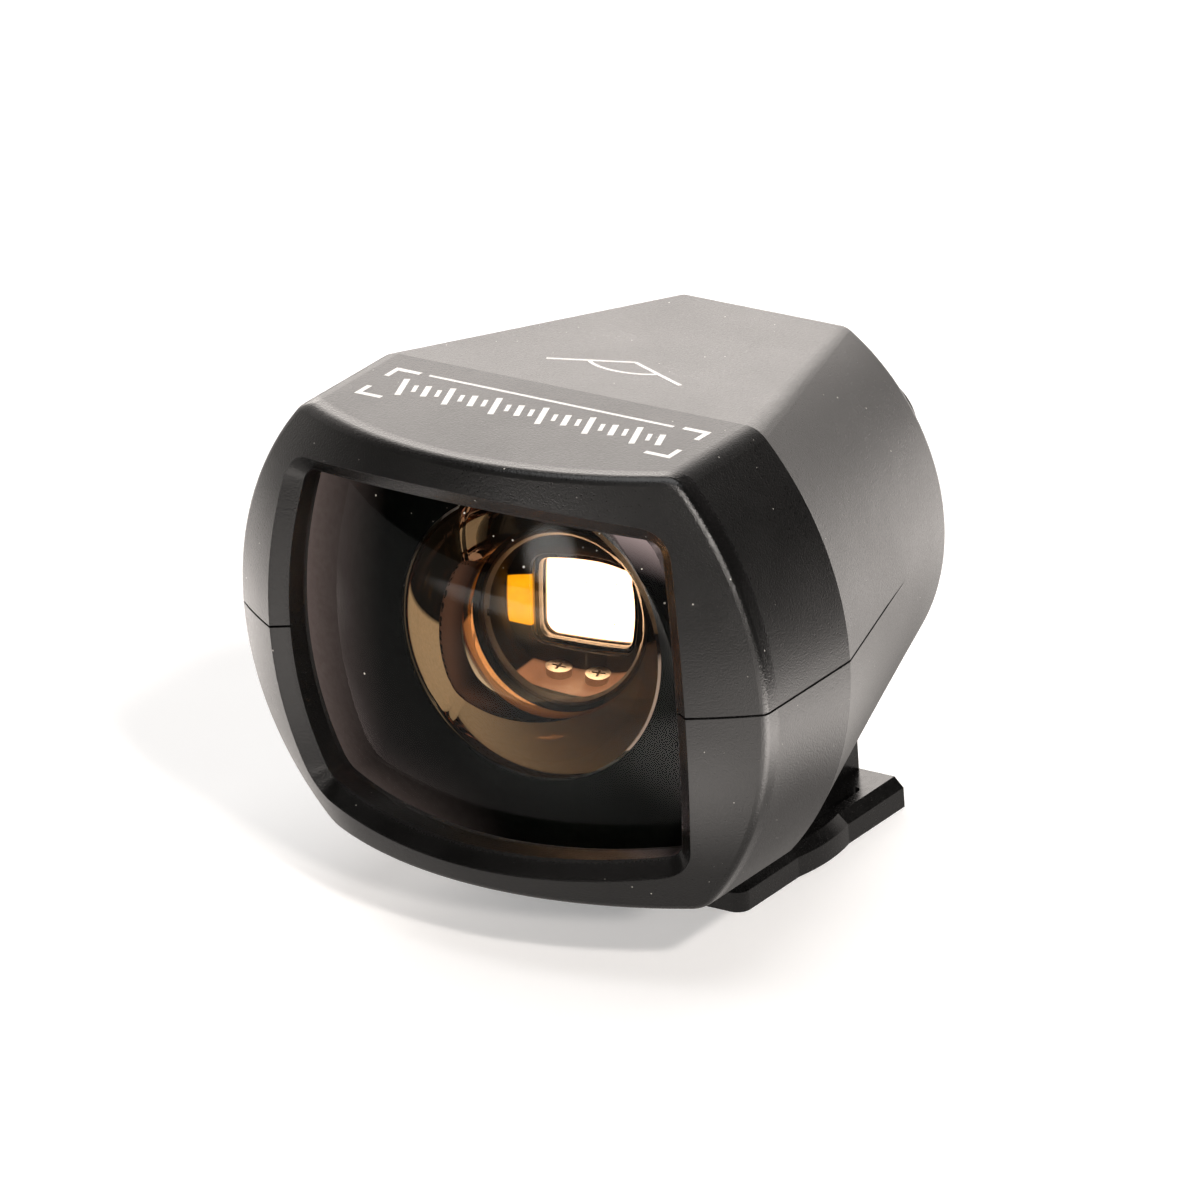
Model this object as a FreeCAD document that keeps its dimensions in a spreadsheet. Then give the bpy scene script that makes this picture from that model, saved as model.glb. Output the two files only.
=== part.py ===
import FreeCAD, Part
import math
import os
import Sketcher

# Accessory-shoe optical viewfinder, in millimetres.
# The frame: +Z up, -Y towards the scene, +Y towards the eye, and the origin at the centre of the
# foot's underside, which rests on the floor of a camera's accessory shoe.

V = FreeCAD.Vector
NEAR = 0.01     # how close a vertex lies to a face to count as on it
PAST = 1        # how far a cutting solid runs past the faces it cuts
WIDE = 30       # half the side of a block larger than the whole object
doc = FreeCAD.newDocument("viewfinder")

# ----------------------------------------------------------------------------- driving dimensions
SIZES = {
    # housing: flat top and bottom, bowed sides, constant forward part, tapering rear part
    "axis_height": 17.5,        # optical axis and shell seam above the foot's underside
    "house_half_width": 18.0,
    "house_half_height": 13.1,
    "house_flat_half": 12.65,   # half the width of the flat top, before its soft edge
    "house_soft_edge": 1.8,
    "rear_half_width": 11.6,
    "rear_half_height": 10.9,
    "rear_flat_half": 5.5,
    "rear_soft_edge": 1.2,
    "front_rim": -16.9,         # where the bowed side meets the domed front, at the seam
    "crease": -8.6,             # where the taper starts
    "rear_end": 10.8,
    "dome_radius": 29.1,
    "wall": 1.6,
    "rear_wall": 2.1,
    "rim_fillet": 0.7,
    "rear_fillet": 0.6,
    "seam_half": 0.07,          # half the width of the groove along the seam, and its depth
    "seam_depth": 0.18,
    # window and the front lens that fills it
    "window_half_width": 13.25,
    "window_half_height": 10.45,
    "window_corner_x": 12.1,
    "window_corner_z": 9.45,
    "window_corner": 1.1,
    "window_bevel": 1.15,
    "seat_lap": 0.9,            # how far the lens runs behind the window's edge
    "seat_gap": 0.08,
    "seal_thickness": 0.25,
    "lens_apex": -20.4,
    "lens_radius": 28.0,
    "lens_back": -10.14,
    "bowl_radius": 7.4,
    "bowl_rim": 6.93,
    # plate behind the front lens, cell and second lens
    "mask_thickness": 0.4,
    "mask_play": 0.12,
    "cell_half_width": 8.6,
    "cell_half_height": 11.48,
    "flange_depth": 1.9,
    "barrel_radius": 8.5,
    "barrel_end": -5.9,
    "second_front": -9.7,       # the second lens's flat front, just behind the plate
    "second_hollow": -7.4,      # middle of its hollow back
    "second_back_radius": 50.0,
    "second_radius": 7.5,
    "fit_play": 0.03,
    "ring_depth": 0.75,
    "ring_bore": 7.1,
    "key_half": 0.4,
    # light baffles
    "baffle_thickness": 0.8,
    "front_baffle_at": -5.8,
    "front_hole_x": 9.4,
    "front_hole_z": 7.6,
    "rear_baffle_at": 3.0,
    "rear_hole_x": 7.8,
    "rear_hole_z": 6.2,
    "hole_corner": 2.0,
    "eye_corner": 1.3,
    "glass_corner": 2.0,
    # frame-line plate and eyepiece
    "plate_at": 4.4,
    "plate_thickness": 0.5,
    "plate_half_x": 9.0,
    "plate_half_z": 7.2,
    "line_outer_x": 8.1,
    "line_outer_z": 6.6,
    "line_width": 0.35,
    "line_depth": 0.12,
    "plate_hole_x": 7.1,
    "plate_hole_z": 5.6,
    "tube_half_x": 9.0,
    "tube_half_z": 7.2,
    "tube_from": 4.9,
    "tube_short": 0.4,
    "tube_corner": 2.4,
    "eye_edge_x": 8.2,
    "eye_edge_z": 6.45,
    "field_from": 5.3,
    "field_edge": 1.0,
    "field_radius": 28.0,
    "spacer_hole_x": 7.9,
    "spacer_hole_z": 6.2,
    "spacer_depth": 0.3,
    "eye_edge": 1.0,
    "eye_radius": 34.0,
    "bezel_half_x": 9.6,
    "bezel_half_z": 7.9,
    "bezel_proud": 0.9,
    "bezel_hole_x": 8.0,
    "bezel_hole_z": 6.25,
    "bezel_corner": 3.0,
    "bezel_soft": 0.4,
    "opening_half_x": 9.05,
    "opening_half_z": 7.25,
    # accessory-shoe foot
    "foot_half_width": 9.3,
    "foot_half_length": 8.3,
    "foot_thickness": 1.8,
    "foot_chamfer": 0.6,
    "foot_corner": 0.8,
    "bump_half_length": 2.55,
    "bump_height": 0.3,
    "slot_offset": 7.6,
    "slot_half_length": 6.0,
    "slot_radius": 0.42,
    "neck_half_width": 6.25,
    "neck_front": -6.9,
    "neck_top": 7.0,
    "floor_top": 8.6,
    "floor_half_width": 8.0,
    "floor_half_length": 8.3,
    "screw_spacing": 5.4,
    "screw_y": 0.6,
    "screw_radius": 1.0,
    "screw_length": 5.6,
    "screw_play": 0.02,
    "blind_end": 0.25,          # what a threaded hole is deeper than its screw
    "head_radius": 1.75,
    "head_height": 1.2,
    "drive_width": 0.36,
    "drive_ratio": 0.56,        # the cross's reach over the head's radius
    "drive_depth": 0.7,
    # screws that close the two shells, and their bosses
    "case_screw_x": 10.6,
    "case_screw_y": -7.8,
    "boss_radius": 1.85,
    "case_radius": 0.85,
    "case_head_radius": 1.5,
    "case_head_height": 0.9,
    "case_drive_depth": 0.5,
    "head_play": 0.1,
    "case_recess": 1.1,
    "case_length": 15.5,
}

sheet = doc.addObject("Spreadsheet::Sheet", "sheet")
for row, (name, size) in enumerate(SIZES.items(), start=1):
    sheet.set("A%d" % row, name)
    sheet.set("B%d" % row, str(size))
    sheet.setAlias("B%d" % row, name)
doc.recompute()


class Size:
    """A number together with the sheet expression that gives it."""

    def __init__(self, value, text):
        self.value = float(value)
        self.text = text

    @staticmethod
    def of(other):
        return other if isinstance(other, Size) else Size(other, repr(float(other)))

    def _join(self, other, sign, value):
        return Size(value, "(%s %s %s)" % (self.text, sign, other.text))

    def __add__(self, other):
        other = Size.of(other)
        return self._join(other, "+", self.value + other.value)

    def __sub__(self, other):
        other = Size.of(other)
        return self._join(other, "-", self.value - other.value)

    def __mul__(self, other):
        other = Size.of(other)
        return self._join(other, "*", self.value * other.value)

    def __truediv__(self, other):
        other = Size.of(other)
        return self._join(other, "/", self.value / other.value)

    def __neg__(self):
        return Size(-self.value, "(-1 * %s)" % self.text)

    def root(self):
        return Size(math.sqrt(self.value), "sqrt(%s)" % self.text)


class Cells:
    """Cells.name is the sheet's cell of that name, as a Size."""

    def __getattr__(self, name):
        return Size(SIZES[name], "sheet." + name)


c = Cells()


def bind(obj, prop, size):
    size = Size.of(size)
    obj.setExpression(prop, size.text)


# ------------------------------------------------------------------------------------ construction
def place(obj, x=0.0, y=0.0, z=0.0):
    """Puts the object at x, y, z, each a Size or a number."""
    for axis, size in zip("xyz", (x, y, z)):
        bind(obj, "Placement.Base." + axis, size)


def new_body(name):
    """A body whose own origin lies on the optical axis."""
    body = doc.addObject("PartDesign::Body", name)
    place(body, z=c.axis_height)
    return body


def new_sketch(body, role, offset=None):
    """A sketch on the body's plane of that role, moved along the plane's normal."""
    sketch = body.newObject("Sketcher::SketchObject", body.Name + "_outline")
    plane = [f for f in body.Origin.OriginFeatures if f.Role == role][0]
    sketch.AttachmentSupport = (plane, [""])
    sketch.MapMode = "FlatFace"
    if offset is not None:
        bind(sketch, "AttachmentOffset.Base.z", offset)
    return sketch


def draw(sketch, corners):
    """Draws a closed outline, anticlockwise. A corner is (u, v) or (u, v, radius): the radius
    makes the edge that leaves the corner an arc that bulges outwards."""
    count = len(corners)
    for i, corner in enumerate(corners):
        u, v = Size.of(corner[0]), Size.of(corner[1])
        nxt = corners[(i + 1) % count]
        start = V(u.value, v.value, 0)
        end = V(Size.of(nxt[0]).value, Size.of(nxt[1]).value, 0)
        if len(corner) == 2:
            edge = sketch.addGeometry(Part.LineSegment(start, end), False)
        else:
            radius = Size.of(corner[2])
            chord = end - start
            inward = V(-chord.y, chord.x, 0).normalize()
            rise = math.sqrt(max(radius.value ** 2 - (chord.Length / 2) ** 2, 0))
            centre = (start + end) * 0.5 + inward * rise
            first = math.atan2(start.y - centre.y, start.x - centre.x)
            last = math.atan2(end.y - centre.y, end.x - centre.x)
            circle = Part.Circle(centre, V(0, 0, 1), radius.value)
            edge = sketch.addGeometry(Part.ArcOfCircle(circle, first, last), False)
            tie = sketch.addConstraint(Sketcher.Constraint("Radius", edge, radius.value))
            bind(sketch, "Constraints[%d]" % tie, radius)
        for kind, size in (("DistanceX", u), ("DistanceY", v)):
            tie = sketch.addConstraint(Sketcher.Constraint(kind, edge, 1, size.value))
            bind(sketch, "Constraints[%d]" % tie, size)
    for i in range(count):
        sketch.addConstraint(Sketcher.Constraint("Coincident", i, 2, (i + 1) % count, 1))
    return sketch


def pad_along_y(name, corners, y_from, y_to):
    """A prism along Y. The outline is in X and Z, with Z measured from the optical axis."""
    body = new_body(name)
    # the XZ plane's normal points to -Y, so an offset of -y_to puts the outline at y_to
    sketch = draw(new_sketch(body, "XZ_Plane", -Size.of(y_to)), corners)
    pad = body.newObject("PartDesign::Pad", name + "_pad")
    pad.Profile = sketch
    bind(pad, "Length", Size.of(y_to) - y_from)
    return body


def turn_about_axis(name, corners):
    """A solid turned about the optical axis. The outline is in Y and radius."""
    body = new_body(name)
    sketch = draw(new_sketch(body, "YZ_Plane"), corners)
    turned = body.newObject("PartDesign::Revolution", name + "_turned")
    turned.Profile = sketch
    turned.ReferenceAxis = (sketch, ["H_Axis"])
    turned.Angle = 360
    return body


def sphere(name, radius, y_centre):
    ball = doc.addObject("Part::Sphere", name)
    bind(ball, "Radius", radius)
    place(ball, y=y_centre, z=c.axis_height)
    return ball


def box(name, low, high):
    block = doc.addObject("Part::Box", name)
    for prop, a, b in zip(("Length", "Width", "Height"), low, high):
        bind(block, prop, Size.of(b) - a)
    place(block, *low)
    return block


def upright_cylinder(name, radius, x, y, z_from, z_to):
    rod = doc.addObject("Part::Cylinder", name)
    bind(rod, "Radius", radius)
    bind(rod, "Height", Size.of(z_to) - z_from)
    place(rod, x, y, z_from)
    return rod


def level_cylinder(name, radius, y_from, y_to):
    """A cylinder on the optical axis."""
    rod = doc.addObject("Part::Cylinder", name)
    bind(rod, "Radius", radius)
    bind(rod, "Height", Size.of(y_to) - y_from)
    rod.Placement = FreeCAD.Placement(V(0, 0, 0), FreeCAD.Rotation(V(1, 0, 0), -90))
    place(rod, y=y_from, z=c.axis_height)
    return rod


def cut(name, base, *tools):
    result = base
    for number, tool in enumerate(tools, start=1):
        step = doc.addObject("Part::Cut", name if number == len(tools) else "%s_%d" % (name, number))
        step.Base, step.Tool = result, tool
        result = step
    return result


def common(name, *shapes):
    both = doc.addObject("Part::MultiCommon", name)
    both.Shapes = list(shapes)
    return both


def fuse(name, *shapes):
    one = doc.addObject("Part::MultiFuse", name)
    one.Shapes = list(shapes)
    return one


def soften(name, kind, base, size, picks):
    """Part::Fillet or Part::Chamfer on the base's edges that picks() accepts."""
    doc.recompute()
    numbers = [n for n, edge in enumerate(base.Shape.Edges, start=1) if picks(edge)]
    result = doc.addObject(kind, name)
    result.Base = base
    result.Edges = [(n, size.value, size.value) for n in numbers]
    return result


nodes = []


def node(obj, label):
    """Declares the object as a finished sub-part."""
    obj.Label = label
    nodes.append(obj)
    return obj


# ----------------------------------------------------------------------------------------- outlines
def section(half_width, half_height, flat_half, soft_edge):
    """The housing's section: flats top and bottom, bowed sides, and soft edges between them."""
    bow = ((half_width - flat_half) * (half_width - flat_half) + half_height * half_height) \
        / ((half_width - flat_half) * 2)
    centre = half_width - bow
    level = half_height - soft_edge
    soft_x = centre + ((bow - soft_edge) * (bow - soft_edge) - level * level).root()
    reach = bow / (bow - soft_edge)
    side_x = centre + (soft_x - centre) * reach
    side_z = level * reach
    return [
        (soft_x, -half_height, soft_edge), (side_x, -side_z, bow), (side_x, side_z, soft_edge),
        (soft_x, half_height), (-soft_x, half_height, soft_edge), (-side_x, side_z, bow),
        (-side_x, -side_z, soft_edge), (-soft_x, -half_height),
    ]


def bowed_window(name, grow, y_from, y_to):
    """A prism of the window's outline, grown by that much: four bowed faces and round corners."""
    x, z = c.window_corner_x + grow, c.window_corner_z + grow
    wide, high = c.window_half_width + grow, c.window_half_height + grow
    side = ((wide - x) * (wide - x) + z * z) / ((wide - x) * 2)
    lid = ((high - z) * (high - z) + x * x) / ((high - z) * 2)
    body = pad_along_y(name, [(x, -z, side), (x, z, lid), (-x, z, side), (-x, -z, lid)],
                       y_from, y_to)
    doc.recompute()
    level = [n for n, edge in enumerate(body.Shape.Edges, start=1)
             if abs(edge.Vertexes[0].Y - edge.Vertexes[-1].Y) > NEAR]
    pad = body.Tip
    fillet = body.newObject("PartDesign::Fillet", name + "_corners")
    fillet.Base = (pad, ["Edge%d" % n for n in level])
    bind(fillet, "Radius", c.window_corner + grow)
    return body


def round_rectangle(half_x, half_z, corner):
    half_x, half_z, corner = Size.of(half_x), Size.of(half_z), Size.of(corner)
    x, z = half_x - corner, half_z - corner
    return [
        (half_x, -z), (half_x, z, corner), (x, half_z), (-x, half_z, corner),
        (-half_x, z), (-half_x, -z, corner), (-x, -half_z), (x, -half_z, corner),
    ]


# ------------------------------------------------------------------------------------------ housing
def taper(name, inset, y_to):
    """The tapering rear part, with its surface moved inwards by the inset."""
    body = new_body(name)
    wide = draw(new_sketch(body, "XZ_Plane", -c.crease), section(
        c.house_half_width - inset, c.house_half_height - inset, c.house_flat_half - inset,
        c.house_soft_edge))
    slim = draw(new_sketch(body, "XZ_Plane", -Size.of(y_to)), section(
        c.rear_half_width - inset, c.rear_half_height - inset, c.rear_flat_half - inset,
        c.rear_soft_edge))
    loft = body.newObject("PartDesign::AdditiveLoft", name + "_loft")
    loft.Profile = wide
    loft.Sections = [slim]
    loft.Ruled = True
    return body


def rear_window(name, y_from, y_to):
    return pad_along_y(name, round_rectangle(c.opening_half_x, c.opening_half_z, c.tube_corner),
                       y_from, y_to)


dome_centre = c.front_rim + (c.dome_radius * c.dome_radius
                             - c.house_half_width * c.house_half_width).root()
lens_centre = c.lens_apex + c.lens_radius
mask_back = c.lens_back + c.mask_thickness
flange_back = mask_back + c.flange_depth
def sag(radius, reach):
    return radius - (radius * radius - reach * reach).root()


second_end = c.second_hollow + sag(c.second_back_radius, c.second_radius)
far_front = c.lens_apex - 4 * PAST


def housing():
    """Both shells in one piece, hollow, before they part at the seam."""
    forward = pad_along_y("forward_block", section(
        c.house_half_width, c.house_half_height, c.house_flat_half, c.house_soft_edge),
        far_front, c.crease)
    block = fuse("solid_block", forward, taper("rear_block", Size.of(0), c.rear_end))
    domed = common("domed_block", block, sphere("front_dome", c.dome_radius, dome_centre))
    rim_near = dome_centre.value - SIZES["dome_radius"]

    def on_rim(edge):
        mid = edge.valueAt((edge.FirstParameter + edge.LastParameter) / 2)
        outside = abs((mid - V(0, dome_centre.value, SIZES["axis_height"])).Length
                      - SIZES["dome_radius"]) < NEAR
        return outside and rim_near < mid.y < SIZES["crease"] - PAST

    def on_end(edge):
        return all(abs(v.Y - SIZES["rear_end"]) < NEAR for v in edge.Vertexes)

    rimmed = soften("rimmed_block", "Part::Fillet", domed, c.rim_fillet, on_rim)
    ended = soften("ended_block", "Part::Fillet", rimmed, c.rear_fillet, on_end)

    window = bowed_window("window_cut", Size.of(0), far_front, c.lens_back)
    framed = cut("framed_block", ended, window)

    def on_window(edge):
        mid = edge.valueAt((edge.FirstParameter + edge.LastParameter) / 2)
        on_dome = abs((mid - V(0, dome_centre.value, SIZES["axis_height"])).Length
                      - SIZES["dome_radius"]) < NEAR
        inside = abs(mid.x) < SIZES["window_half_width"] + NEAR \
            and abs(mid.z - SIZES["axis_height"]) < SIZES["window_half_height"] + NEAR
        return on_dome and inside

    bevelled = soften("bevelled_block", "Part::Chamfer", framed, c.window_bevel, on_window)

    pocket = bowed_window("lens_pocket", c.seat_lap + c.seat_gap, far_front, mask_back)
    seat = common("lens_seat", pocket,
                  sphere("seat_dome", c.lens_radius + c.seal_thickness, lens_centre))
    cavity = pad_along_y("forward_cavity", section(
        c.house_half_width - c.wall, c.house_half_height - c.wall, c.house_flat_half - c.wall,
        c.house_soft_edge), mask_back, c.crease)
    rear_cavity = taper("rear_cavity", c.wall, c.rear_end)
    rear_keep = box("rear_keep", (-WIDE, c.rear_end - c.rear_wall, -WIDE),
                    (WIDE, c.rear_end + PAST, 2 * WIDE))
    hollow = cut("rear_hollow", rear_cavity, rear_keep)
    opened = cut("hollow_block", bevelled, seat, cavity, hollow,
                 rear_window("rear_opening", c.plate_at, c.rear_end + PAST), *seam_groove())
    return bevelled, opened


def seam_groove():
    """What the shells leave open along the seam: a slot over the skin, and one over the bevel."""
    low, high = c.axis_height - c.seam_half, c.axis_height + c.seam_half
    forward = pad_along_y("groove_forward", section(
        c.house_half_width - c.seam_depth, c.house_half_height - c.seam_depth,
        c.house_flat_half - c.seam_depth, c.house_soft_edge), far_front, c.crease)
    inside = common("groove_inside", fuse(
        "groove_core", forward, taper("groove_rear", c.seam_depth, c.rear_end + PAST)),
        sphere("groove_dome", c.dome_radius - c.seam_depth, dome_centre))
    slab = box("groove_slab", (-WIDE, -WIDE, low), (WIDE, WIDE, high))
    reach = c.window_half_width + c.window_bevel + c.seam_depth
    bevel_end = dome_centre - (c.dome_radius * c.dome_radius
                               - c.window_half_width * c.window_half_width).root() \
        + c.window_bevel + c.seam_depth
    return (cut("groove_skin", slab, inside),
            box("groove_bevel", (-reach, far_front, low), (reach, bevel_end, high)))


solid_house, hollow_house = housing()
upper_half = box("upper_half", (-WIDE, -WIDE, c.axis_height), (WIDE, WIDE, c.axis_height + WIDE))

# the floor under the eyepiece side takes the foot's neck from below and its screws from above
floor_slab = common("floor_slab", solid_house, box(
    "floor_block", (-c.floor_half_width, -c.floor_half_length, 0),
    (c.floor_half_width, c.floor_half_length, c.floor_top)))
neck_recess = box("neck_recess", (-c.neck_half_width, c.neck_front, 0),
                  (c.neck_half_width, c.foot_half_length, c.neck_top))
foot_sides = (("left", c.screw_spacing / -2), ("right", c.screw_spacing / 2))
case_sides = (("left", -c.case_screw_x), ("right", c.case_screw_x))
bottom = c.axis_height - c.house_half_height
case_seat = bottom + c.case_recess


def rods(name, sides, radius, y, z_from, z_to):
    """One upright cylinder for each side."""
    return [upright_cylinder("%s_%s" % (name, side), radius, x, y, z_from, z_to)
            for side, x in sides]


def upper_shell():
    bosses = rods("upper_boss", case_sides, c.boss_radius, c.case_screw_y, c.axis_height,
                  c.axis_height + c.house_half_height - c.wall / 2)
    threads = rods("case_thread", case_sides, c.case_radius, c.case_screw_y, c.axis_height - PAST,
                   case_seat + c.case_length)
    half = common("upper_half_house", hollow_house, upper_half)
    return node(cut("upper_body", fuse("upper_with_bosses", half, *bosses), *threads), "upper_shell")


def lower_shell():
    bosses = rods("lower_boss", case_sides, c.boss_radius, c.case_screw_y,
                  bottom + c.wall / 2, c.axis_height)
    heads = rods("case_recess", case_sides, c.case_head_radius, c.case_screw_y, 0, case_seat)
    shanks = rods("case_hole", case_sides, c.case_radius, c.case_screw_y, case_seat - PAST,
                  c.axis_height + PAST)
    holes = rods("foot_hole", foot_sides, c.screw_radius, c.screw_y, c.neck_top - PAST,
                 c.floor_top + PAST)
    half = cut("lower_half_house", hollow_house, upper_half)
    whole = fuse("lower_with_bosses", half, floor_slab, *bosses)
    return node(cut("lower_body", whole, neck_recess, *heads, *shanks, *holes), "lower_shell")


def screws(name, label, sides, radius, head_radius, y, tip, seat, head_height, upwards, drive):
    """Cross-head screws, one solid each in a single node. The head lies beyond the seat."""
    tool_from, tool_to = (seat + head_height - drive, seat + head_height + PAST) if upwards \
        else (seat - head_height - PAST, seat - head_height + drive)
    low, high = (seat, seat + head_height) if upwards else (seat - head_height, seat)
    made = []
    for side, x in sides:
        shank = upright_cylinder("%s_shank_%s" % (name, side), radius, x, y,
                                 *((tip, seat) if upwards else (seat, tip)))
        head = upright_cylinder("%s_head_%s" % (name, side), head_radius, x, y, low, high)
        half, thin = head_radius * c.drive_ratio, c.drive_width / 2
        cross = [box("%s_slot_x_%s" % (name, side), (x - half, y - thin, tool_from),
                     (x + half, y + thin, tool_to)),
                 box("%s_slot_y_%s" % (name, side), (x - thin, y - half, tool_from),
                     (x + thin, y + half, tool_to))]
        whole = fuse("%s_blank_%s" % (name, side), shank, head)
        made.append(cut("%s_%s" % (name, side), whole, *cross))
    group = doc.addObject("Part::Compound", name)
    group.Links = made
    return node(group, label)


# ------------------------------------------------------------------------------------ accessory foot
def shoe_foot():
    wide, long = c.foot_half_width, c.foot_half_length
    bump = (c.bump_half_length * c.bump_half_length + c.bump_height * c.bump_height) \
        / (c.bump_height * 2)
    body = doc.addObject("PartDesign::Body", "foot_plate")
    plate = draw(new_sketch(body, "XY_Plane"), [
        (-wide, -long), (wide, -long), (wide, -c.bump_half_length, bump),
        (wide, c.bump_half_length), (wide, long), (-wide, long),
        (-wide, c.bump_half_length, bump), (-wide, -c.bump_half_length)])
    pad = body.newObject("PartDesign::Pad", "foot_plate_pad")
    pad.Profile = plate
    bind(pad, "Length", c.foot_thickness)
    doc.recompute()

    def front_corner(edge):
        return all(abs(v.Y + SIZES["foot_half_length"]) < NEAR for v in edge.Vertexes) \
            and abs(edge.Vertexes[0].Z - edge.Vertexes[-1].Z) > NEAR

    rounded = soften("foot_rounded", "Part::Fillet", body, c.foot_corner, front_corner)

    def top_side(edge):
        on_top = all(abs(v.Z - SIZES["foot_thickness"]) < NEAR for v in edge.Vertexes)
        return on_top and any(v.Y < SIZES["foot_half_length"] - NEAR for v in edge.Vertexes)

    bevelled = soften("foot_bevelled", "Part::Chamfer", rounded, c.foot_chamfer, top_side)
    neck = box("foot_neck", (-c.neck_half_width, c.neck_front, c.foot_thickness / 2),
               (c.neck_half_width, c.foot_half_length, c.neck_top))
    slots = []
    for side, x in (("left", -c.slot_offset), ("right", c.slot_offset)):
        y, r = c.slot_half_length - c.slot_radius, c.slot_radius
        over = c.foot_thickness + PAST
        slots.append(box("slot_%s" % side, (x - r, -y, -PAST), (x + r, y, over)))
        slots += [upright_cylinder("slot_%s_%s" % (side, end), r, x, at, -PAST, over)
                  for end, at in (("front", -y), ("rear", y))]
    threads = rods("foot_thread", foot_sides, c.screw_radius, c.screw_y,
                   c.floor_top - c.screw_length, c.neck_top + PAST)
    return node(cut("foot", fuse("foot_blank", bevelled, neck), *slots, *threads), "shoe_foot")


# ------------------------------------------------------------------------------------------- optics
def front_lens():
    blank = bowed_window("front_lens_blank", c.seat_lap, far_front, c.lens_back)
    domed = common("front_lens_domed", blank, sphere("lens_dome", c.lens_radius, lens_centre))
    bowl_centre = c.lens_back + (c.bowl_radius * c.bowl_radius - c.bowl_rim * c.bowl_rim).root()
    return node(cut("front_glass", domed, sphere("lens_bowl", c.bowl_radius, bowl_centre)),
                "front_lens")


def lens_seal():
    """The thin black rim between the window's edge and the front lens."""
    blank = bowed_window("seal_blank", c.seat_lap, far_front, c.crease)
    outer = common("seal_outer", blank, sphere(
        "seal_dome", c.lens_radius + c.seal_thickness, lens_centre))
    inside = bowed_window("seal_hole", Size.of(0), far_front - PAST, c.crease + PAST)
    return node(cut("seal_rim", outer, sphere("seal_inner", c.lens_radius, lens_centre), inside),
                "lens_seal")


def lens_mask():
    """The plate behind the front lens, with a round hole the size of the lens's hollow."""
    plate = bowed_window("mask_plate", c.seat_lap, c.lens_back, mask_back)
    hole = level_cylinder("mask_hole", c.bowl_rim + c.mask_play, c.lens_back - PAST, mask_back + PAST)
    return node(cut("mask_body", plate, hole), "lens_mask")


def lens_cell():
    """The flange between the shells and the barrel behind it that carry the second lens."""
    flange = pad_along_y("cell_flange", round_rectangle(
        c.cell_half_width, c.cell_half_height, c.hole_corner), mask_back, flange_back)
    barrel = level_cylinder("cell_barrel", c.barrel_radius, mask_back + c.flange_depth / 2,
                            c.barrel_end)
    bore = level_cylinder("cell_bore", c.second_radius + c.fit_play, mask_back - PAST,
                          c.barrel_end + PAST)
    return node(cut("cell_body", fuse("cell_blank", flange, barrel), bore), "lens_cell")


def second_lens():
    """Flat in front, slightly hollow behind, and held against the plate by the ring."""
    blank = level_cylinder("second_blank", c.second_radius, c.second_front, second_end)
    hollow = sphere("second_hollow", c.second_back_radius, c.second_hollow + c.second_back_radius)
    return node(cut("second_glass", blank, hollow), "second_lens")


def cell_ring():
    """The threaded ring behind the second lens, with two notches for its key."""
    start, stop = second_end + c.fit_play, second_end + c.ring_depth
    ring = turn_about_axis("cell_ring_body", [
        (start, c.ring_bore), (stop, c.ring_bore), (stop, c.second_radius),
        (start, c.second_radius)])
    keys = box("ring_keys", (-c.second_radius, start + c.ring_depth / 2, c.axis_height - c.key_half),
               (c.second_radius, stop + PAST, c.axis_height + c.key_half))
    return node(cut("ring_body", ring, keys), "cell_ring")


# ----------------------------------------------------------------------- baffles, plate and eyepiece
def baffle(name, y_from, half_x, half_z):
    """A plate across the cavity, cut to the taper's inside, with a round-cornered hole."""
    y_to = y_from + c.baffle_thickness
    plate = pad_along_y(name + "_plate", round_rectangle(WIDE, WIDE, PAST), y_from, y_to)
    inside = taper(name + "_limit", c.wall + c.fit_play, c.rear_end)
    fitted = common(name + "_fitted", plate, inside)
    hole = pad_along_y(name + "_hole", round_rectangle(half_x, half_z, c.hole_corner),
                       y_from - PAST, y_to + PAST)
    return node(cut(name + "_body", fitted, hole, floor_slab), name)


def frame_plate():
    """The plate around the eyepiece whose front carries the bright frame line."""
    back = c.plate_at + c.plate_thickness
    plate = pad_along_y("frame_plate_blank", round_rectangle(
        c.plate_half_x, c.plate_half_z, c.tube_corner), c.plate_at, back)
    hole = pad_along_y("frame_plate_hole", eye_hole(), c.plate_at - PAST, back + PAST)
    return node(cut("frame_plate_body", plate, hole), "frame_plate")


def frame_line():
    """The white frame line, a raised rim on the plate's front."""
    front = c.plate_at - c.line_depth
    outer = pad_along_y("line_outer", round_rectangle(
        c.line_outer_x, c.line_outer_z, c.eye_corner), front, c.plate_at)
    inner = pad_along_y("line_inner", round_rectangle(
        c.line_outer_x - c.line_width, c.line_outer_z - c.line_width, c.eye_corner - c.line_width),
        front - PAST, c.plate_at + PAST)
    return node(cut("line_body", outer, inner), "frame_line")


tube_end = c.rear_end - c.tube_short


def eye_hole():
    """The outline of the hole through the plate and the tube's lip."""
    return round_rectangle(c.plate_hole_x, c.plate_hole_z, c.eye_corner)


def eye_tube():
    blank = pad_along_y("tube_blank", round_rectangle(
        c.tube_half_x, c.tube_half_z, c.tube_corner), c.tube_from, tube_end)
    bore = pad_along_y("tube_bore", round_rectangle(
        c.eye_edge_x + c.fit_play, c.eye_edge_z + c.fit_play, c.glass_corner), c.field_from,
        tube_end + PAST)
    lip = pad_along_y("tube_lip", eye_hole(), c.tube_from - PAST, c.field_from + PAST)
    return node(cut("tube_body", blank, bore, lip), "eye_tube")


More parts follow.
